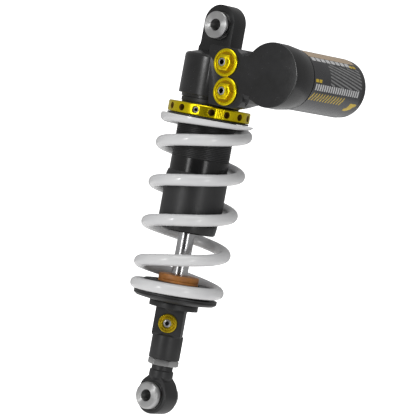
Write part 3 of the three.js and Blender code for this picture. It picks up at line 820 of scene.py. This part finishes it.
def thread(name, crest_r, depth, pitch, low, high, columns=96):
    """A right-handed helical thread surface. Its ragged ends are hidden inside neighbours."""
    rows_per_pitch = 4
    row_count = int((high - low) / pitch) * rows_per_pitch
    radii = [crest_r - depth, crest_r - depth * 0.15, crest_r, crest_r - depth * 0.15]
    points = []
    for j in range(row_count):
        for i in range(columns):
            angle = 2 * math.pi * i / columns
            z = low + pitch * (j / rows_per_pitch + i / columns)
            r = radii[j % rows_per_pitch]
            points.append((r * math.cos(angle), r * math.sin(angle), z))
    faces = []
    for j in range(row_count - 1):
        for i in range(columns):
            n, shift = (i + 1) % columns, 0
            if n == 0:
                shift = rows_per_pitch
            if j + 1 + shift >= row_count:
                continue
            a, b = j * columns + i, (j + shift) * columns + n
            faces.append([a, b, b + columns, a + columns])
    return new_object(name, points, faces)


def damper_body():
    tube = turned("body_tube_fine", [
        (23, -60), (24.3, -60), (24.3, -63.5), (25.1, -63.5), (25.1, -66.9), (24, -67.4),
        (24, -113), (24.2, -113.2), (TUBE_R, -113.8), (TUBE_R, -168.1), (23, -168.1),
    ], segments=128, fillet=0.25)
    ridges = thread("thread", TUBE_R - 0.03, 0.45, 1.5, -114.5, -66.3)
    stands_for(merge(tube, ridges), "body_tube", BLACK_TUBE)
    second_look(tube, faces_where(tube, lambda p: p.z > THREAD_END_Z), DULL_BLACK)
    sleeve = turned("guide_sleeve_fine", [
        (24.9, -125.7), (25.3, -125.7), (26.4, -129.5, 1.2), (26.4, -165.6), (25.5, -166.6),
        (24.9, -166.6),
    ], segments=128)
    stands_for(sleeve, "guide_sleeve", PLASTIC)
    seal = turned("seal_head_fine", [
        (7.3, -166), (22.7, -166), (22.7, -168.4), (TUBE_R, -168.4), (24.3, -170.5, 1.5),
        (23.7, -175.2, 1), (22.6, -176.4), (10.4, -176.4), (10.4, -172), (7.3, -172),
    ], segments=128)
    stands_for(seal, "seal_head", BLACK)
    wiper = turned("rod_wiper_fine", [
        (7.15, -176.3, 0.1), (8.6, -175.2), (10.1, -175.2), (10.1, -172.3), (7.3, -172.3),
    ], segments=96)
    stands_for(wiper, "rod_wiper", RUBBER)


# ---------------------------------------------------------------- spring and its seats

SPRING_MEAN_R = 35
WIRE_R = 5
SPRING_TURNS = 5.75
SPRING_START = math.radians(36)
TOP_PITCH, OPEN_PITCH, BOTTOM_PITCH = 10.2, 34.05, 5.5
OPEN_FROM, OPEN_TO, RAMP = 0.87, 4.85, 0.2
COIL_TOP_Z = -77.3
GROUND_TOP_Z, GROUND_BOTTOM_Z = -79.5, -229.9
SPRING_SHARP_DEGREES = 40


def ramped(turns):
    """Zero below 0, then curving over RAMP turns into a slope of one."""
    if turns < 0:
        return 0
    return turns * turns / (2 * RAMP) if turns < RAMP else turns - RAMP / 2


def coil_height(turn):
    """Height of the wire's centre after so many turns from the upper tip."""
    return (
        COIL_TOP_Z - TOP_PITCH * turn
        - (OPEN_PITCH - TOP_PITCH) * ramped(turn - OPEN_FROM)
        + (OPEN_PITCH - BOTTOM_PITCH) * ramped(turn - OPEN_TO)
    )


def opened(turn):
    """0 along the closed upper coils, 1 along the closed lower ones."""
    return (ramped(turn - OPEN_FROM) - ramped(turn - OPEN_TO)) / (OPEN_TO - OPEN_FROM)


def coil_spring():
    """Round wire on a helix with closed, ground ends. Closed coils move with their seat."""
    steps_per_turn, around = 64, 24
    count = round(SPRING_TURNS * steps_per_turn)
    points, faces, shares = [], [], []

    def centre(turn):
        angle = SPRING_START - 2 * math.pi * turn
        return Vector((
            SPRING_MEAN_R * math.cos(angle), SPRING_MEAN_R * math.sin(angle), coil_height(turn),
        ))

    for i in range(count + 1):
        turn = i / steps_per_turn
        here = centre(turn)
        out = Vector((here.x, here.y, 0)).normalized()
        along = (centre(turn + 0.001) - centre(turn - 0.001)).normalized()
        side = along.cross(out).normalized()
        share = opened(turn)
        for k in range(around):
            angle = 2 * math.pi * k / around
            p = here + WIRE_R * (out * math.cos(angle) + side * math.sin(angle))
            p.z = min(max(p.z, GROUND_BOTTOM_Z), GROUND_TOP_Z)
            points.append(p)
            shares.append(share)
    for i in range(count):
        for k in range(around):
            n = (k + 1) % around
            a, b = i * around, (i + 1) * around
            faces.append([a + k, a + n, b + n, b + k])
    faces.append(list(range(around)))
    faces.append(list(range(count * around, (count + 1) * around)))
    mesh = bpy.data.meshes.new("coil_spring_fine")
    mesh.from_pydata([p * MM for p in points], [], faces)
    work = bmesh.new()
    work.from_mesh(mesh)
    bmesh.ops.recalc_face_normals(work, faces=work.faces)
    work.to_mesh(mesh)
    work.free()
    shade(mesh, SPRING_SHARP_DEGREES)
    spring = bpy.data.objects.new("coil_spring_fine", mesh)
    bpy.context.scene.collection.objects.link(spring)
    mesh.materials.append(WHITE)
    top, bottom = (0, 0, GROUND_TOP_Z * MM), (0, 0, GROUND_BOTTOM_Z * MM)
    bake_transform(spring, "damper_body", "rod_assembly", start=top, end=bottom)
    mesh.attributes["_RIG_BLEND"].data.foreach_set("value", shares)
    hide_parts("coil_spring")
    hold_to_seat(spring, shares)


def hold_to_seat(spring, shares):
    """The upper coils follow the threaded seat as it is screwed up or down."""
    grip = bpy.data.objects.new("seat_grip", None)
    bpy.context.scene.collection.objects.link(grip)
    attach(grip, "preload_seat")
    group = spring.vertex_groups.new(name="follows_seat")
    for index, share in enumerate(shares):
        group.add([index], 1 - share, "REPLACE")
    hook = spring.modifiers.new("seat", "HOOK")
    hook.object = grip
    hook.vertex_group = group.name
    hook.falloff_type = "NONE"
    hook.matrix_inverse = Matrix.Identity(4)


COLLAR_HOLES = 16
FIRST_HOLE_DEGREES = 17
COLLAR_HOLE_R = 2.9
GROOVE_DEGREES = (-42, -39.4, -36.8, -34.2)


def preload_collar():
    """Gold ring with spanner holes all round, four fine grooves and a steel grub screw."""
    low, high = box_mm("preload_collar")
    middle = (low.z + high.z) / 2
    collar = turned("preload_collar_fine", [
        (24.9, low.z), (34.2, low.z), (35, low.z + 0.8), (35, high.z - 0.8), (34.2, high.z),
        (24.9, high.z),
    ], segments=192, fillet=0.25)
    for k in range(COLLAR_HOLES):
        hole = cylinder("hole", COLLAR_HOLE_R, -36, -26.5, "Y", (0, 0, middle), 32)
        cut(collar, turn_z(hole, FIRST_HOLE_DEGREES + 360 / COLLAR_HOLES * k))
    for degrees in GROOVE_DEGREES:
        groove = cylinder("groove", 0.55, low.z - 1, high.z + 1, "Z", (35.15, 0, 0), 24)
        cut(collar, turn_z(groove, degrees))
    bevel(collar, 0.22, 2, 40)
    stands_for(collar, "preload_collar", GOLD_Z)
    inside_holes = faces_where(collar, lambda p: (
        26.2 < math.hypot(p.x, p.y) < 34.3 and abs(p.z - middle) < 3
    ))
    second_look(collar, inside_holes, GOLD_SHADE)
    socket_screw("collar_grub_screw", 2.5, 2.6, -34, -29.5, (0, 0, middle), FIRST_HOLE_DEGREES,
                 DARK_STEEL)
    ring_low, ring_high = box_mm("spring_seat_ring")
    ring = turned("spring_seat_ring_fine", [
        (24.9, ring_low.z), (34.9, ring_low.z), (34.9, ring_high.z), (24.9, ring_high.z),
    ], segments=128, fillet=0.4)
    stands_for(ring, "spring_seat_ring", PLASTIC)


# ---------------------------------------------------------------- rod side

HOUSING_TURN = 26
REBOUND_Z = -254.5


def rod_assembly():
    rod = turned("piston_rod_fine", [
        (0, -121), (6, -121), (6, -148), (7, -148), (7, -245.5), (0, -245.5),
    ], segments=96)
    stands_for(rod, "piston_rod", CHROME)
    bump = turned("bump_stop_fine", [
        (7.3, -213.5, 0.6), (17.2, -213.5, 0.9), (17.2, -217.7, 0.6), (16.7, -218.3, 0.4),
        (17.2, -218.9, 0.6), (17.2, -222, 0.5), (18.2, -224, 1), (18.2, -228.4), (7.3, -228.4),
    ], segments=96, fillet=0.5)
    stands_for(bump, "bump_stop", FOAM)
    perch = turned("spring_perch_fine", [
        (10, -237), (21, -237), (33.2, -235.1, 0.6), (35.2, -233.7), (35.7, -233), (35.7, -232.2),
        (35.2, -231.8), (35.7, -231.4), (35.7, -230.2), (29.3, -230.2, 0.6), (29.3, -220.8),
        (28.3, -219.8), (18.7, -219.8), (18.7, -228.7), (10, -228.7),
    ], segments=128)
    stands_for(perch, "spring_perch", DULL_BLACK)


def rebound_housing():
    housing = turned("rebound_housing_fine", [
        (7.3, -229.2), (9.7, -229.2), (9.7, -237.3), (20.9, -237.3), (20.9, -241.8),
        (13.6, -241.8, 1.6), (11.9, -244.5, 1.5), (11.9, -264), (13.2, -265.5),
        (13.2, -285.4, 0.5), (7.3, -285.4),
    ], segments=96)
    front = [
        (0, -240.8), (-12, -240.8), (-12, -264), (-10.4, -265.9), (0, -265.9),
    ]
    block = bar_x("valve block", front, -12.4, 12.4)
    add(housing, block)
    cut(housing, cylinder("valve bore", 8.4, -14, -11.4, "Y", (0, 0, REBOUND_Z)))
    bevel(housing, 0.6)
    stands_for(turn_z(housing, HOUSING_TURN), "rebound_housing", DULL_BLACK)
    cartridge = turned("rebound_cartridge_fine", [
        (3.7, -14.8), (5.3, -14.8), (5.7, -13.8), (6.1, -13.4), (6.6, -13.9), (7.4, -13.9),
        (8.05, -13.2), (8.05, -11.7), (3.7, -11.7),
    ], "Y", (0, 0, REBOUND_Z), 96, 0.2)
    stands_for(turn_z(cartridge, HOUSING_TURN), "rebound_cartridge", DARK_GOLD)
    socket_screw("rebound_screw", 3.4, 3.6, -14.4, -8, (0, 0, REBOUND_Z), HOUSING_TURN)


def locknut():
    low, high = box_mm("locknut")
    nut = plate_z("locknut_fine", hexagon(23, 28.3), low.z, high.z)
    cone = turned("cone", [
        (0, low.z - 0.1), (11.7, low.z - 0.1), (13.7, low.z + 1), (13.7, high.z - 1),
        (11.7, high.z + 0.1), (0, high.z + 0.1),
    ], segments=96, fillet=0)
    common(nut, cone)
    cut(nut, cylinder("bore", 6.3, low.z - 1, high.z + 1))
    bevel(nut, 0.15, 2)
    stands_for(nut, "locknut", STEEL_Z)


def rod_end():
    neck = turned("rod_end_fine", [
        (0, -285.2), (6, -285.2), (6, -291.3), (9.1, -291.3), (9.1, -295, 0.3),
        (10.3, -295.8, 0.5), (10.3, -301.5, 2), (8.7, -304.5), (0, -306),
    ], segments=96)
    flare = [
        (6.3, -300.8), (8.2, -302.5), (9.6, -303.8), (11, -305.2), (12.2, -306.9),
        (13.3, -309.5),
    ]
    shoulders = plate_y(
        "shoulders", flare + [(-x, z) for x, z in flare[::-1]], -8.4, 8.4)
    eye = turned("eye", [
        (0, -8.9), (15.5, -8.9, 1.6), (15.5, 8.9, 1.6), (0, 8.9),
    ], "Y", (0, 0, LOWER_EYE_Z), 96, 1)
    add(neck, shoulders, eye)
    cut(neck, cylinder("bore", EYE_BORE_R, -10, 10, "Y", (0, 0, LOWER_EYE_Z)))
    bevel(neck, 0.6)
    stands_for(neck, "rod_end", DULL_BLACK)


# ---------------------------------------------------------------- eyes


def sphere_arc(radius, half, steps=12):
    """Outline of a ball's middle zone, from -half to half along its axis."""
    arc = []
    for k in range(steps + 1):
        along = -half + 2 * half * k / steps
        arc.append((math.sqrt(radius * radius - along * along), along, 0))
    return arc


def eye_bearing(eye, z, end_y, rim_y, chamfer):
    """Race, ball, clip and two spacers. The spacers reach end_y, with a rim from rim_y."""
    at = (0, 0, z)
    race = turned(f"{eye}_bearing_race_fine", sphere_arc(10.1, 5.6) + [(11.9, 5.6), (11.9, -5.6)],
                  "Y", at, 96)
    stands_for(race, f"{eye}_bearing_race", DARK_STEEL)
    ball = turned(f"{eye}_bearing_ball_fine", sphere_arc(9.7, 6.8) + [(6.6, 6.8), (6.6, -6.8)],
                  "Y", at, 96)
    stands_for(ball, f"{eye}_bearing_ball", CHROME)
    clip = turned(f"{eye}_bearing_clip_fine",
                  [(10.7, -7.3), (12, -7.3), (12, -6.1), (10.7, -6.1)], "Y", at, 96)
    stands_for(clip, f"{eye}_bearing_clip", DARK_STEEL)
    for side, flip in (("front", 0), ("back", 180)):
        spacer = turned(f"{eye}_spacer_{side}_fine", [
            (SPACER_BORE_R, -end_y, 0.4), (11.5 - chamfer, -end_y), (11.5, chamfer - end_y),
            (11.5, -rim_y), (8.6, -7.2), (6.3, -7.2), (6.3, -0.15), (SPACER_BORE_R, -0.15),
        ], "Y", at, 96, 0.25)
        # The faces inside the bore get the darker steel: painted shade in the hole.
        bore = faces_where(spacer, lambda p: (
            math.hypot(p.x, p.z) < SPACER_BORE_R + 0.2 and p.y > 0.4 - end_y
        ))
        stands_for(turn_z(spacer, flip), f"{eye}_spacer_{side}", STEEL_Y)
        second_look(spacer, bore, DARK_STEEL)


# ---------------------------------------------------------------- all pieces

head_block()
valve_cartridge("valve_high_cartridge", HIGH_VALVE)
valve_cartridge("valve_low_cartridge", LOW_VALVE)
for node, centre in (("valve_high_screw", HIGH_VALVE), ("valve_low_screw", LOW_VALVE)):
    socket_screw(node, 3.4, 4.4, -32.7, -20, (centre.x, 0, centre.z))
reservoir()
damper_body()
coil_spring()
preload_collar()
rod_assembly()
rebound_housing()
locknut()
rod_end()
eye_bearing("upper", 0, 13.8, 11.6, 0.3)
eye_bearing("lower", LOWER_EYE_Z, 16, 11.2, 1.2)

INNER_LOOKS = {
    "main_piston": BRONZE,
    "piston_band": RUBBER,
    "rebound_shims": STEEL_Z,
    "compression_shims": STEEL_Z,
    "piston_nut": STEEL_Z,
    "top_out_ring": RUBBER,
    "floating_piston": GOLD_Y,
    "floating_piston_band": RUBBER,
}
for node, look in INNER_LOOKS.items():
    mesh = frame["nodes"][node].data
    mesh.materials.clear()
    mesh.materials.append(look)

# ---------------------------------------------------------------- studio


def area_light(name, position, target, width, height, power):
    """A soft rectangular light that faces the target."""
    data = bpy.data.lights.new(name, "AREA")
    data.shape = "RECTANGLE"
    data.size = width
    data.size_y = height
    data.energy = power
    light = bpy.data.objects.new(name, data)
    light.location = position
    aim = (Vector(target) - Vector(position)).normalized()
    light.rotation_mode = "QUATERNION"
    light.rotation_quaternion = aim.to_track_quat("-Z", "Y")
    bpy.context.scene.collection.objects.link(light)


def from_camera_side(degrees, distance, height):
    """A point beside the camera: the angle is to the right of the camera, seen from the part."""
    level = Vector((TO_CAMERA.x, TO_CAMERA.y, 0)).normalized()
    turn = Matrix.Rotation(math.radians(degrees), 4, "Z")
    return CAMERA_TARGET + (turn @ level) * distance + Vector((0, 0, height))


def studio():
    world = bpy.data.worlds.new("studio")
    world.use_nodes = True
    bpy.context.scene.world = world
    background = world.node_tree.nodes["Background"]
    background.inputs["Color"].default_value = (1, 1, 1, 1)
    background.inputs["Strength"].default_value = 0.35
    bpy.context.scene.view_settings.view_transform = "Standard"
    centre = CAMERA_TARGET
    for name, degrees in (("left strip", -45), ("right strip", 24)):
        area_light(name, from_camera_side(degrees, 1.6, 0.1), centre, 0.25, 1.1, 4.3)
    area_light("top", from_camera_side(0, 0.4, 1.8), centre, 1.5, 1.5, 15)
    area_light("streak", from_camera_side(-45, 1.6, 0.32), centre, 0.1, 0.1, 2.2)
    area_light("floor bounce", centre - Vector((0, 0, 0.45)), centre, 3, 3, 17)
    dark_card()
    backdrop()


def dark_card():
    """A black wall behind the camera that only shows in the shine of the metals."""
    look = Look("black cloth", roughness=0.95)
    look.colour((0.004, 0.004, 0.004), (0.008, 0.008, 0.008), look.noise(30))
    look.shader.inputs["Specular IOR Level"].default_value = 0
    work = bmesh.new()
    bmesh.ops.create_grid(work, x_segments=1, y_segments=1, size=1)
    card = stage_mesh("dark card", work, look.material)
    card.location = from_camera_side(-10.5, 2.2, 0)
    card.scale = (1.12, 1.4, 1)
    card.rotation_mode = "QUATERNION"
    aim = (CAMERA_TARGET - card.location).normalized()
    card.rotation_quaternion = aim.to_track_quat("-Z", "Y")
    card.visible_camera = False
    card.visible_glossy = True


def backdrop():
    """White surroundings that only the camera sees, and a plain white floor under the part."""
    look = Look("white surroundings", roughness=0.9)
    look.colour((0.97, 0.97, 0.97), (1, 1, 1), look.noise(2))
    look.shader.inputs["Emission Color"].default_value = (1, 1, 1, 1)
    look.shader.inputs["Emission Strength"].default_value = 1.2
    work = bmesh.new()
    bmesh.ops.create_uvsphere(work, u_segments=48, v_segments=24, radius=8)
    dome = stage_mesh("surroundings", work, look.material)
    work = bmesh.new()
    bmesh.ops.create_circle(work, cap_ends=True, segments=64, radius=7)
    floor = stage_mesh("floor", work, look.material)
    floor.location.z = cad_low.z - 0.0005


def stage_mesh(name, work, material):
    mesh = bpy.data.meshes.new(name)
    work.to_mesh(mesh)
    work.free()
    obj = bpy.data.objects.new(name, mesh)
    bpy.context.scene.collection.objects.link(obj)
    mesh.materials.append(material)
    for kind in ("diffuse", "glossy", "transmission", "shadow"):
        setattr(obj, "visible_" + kind, False)
    return obj


studio()
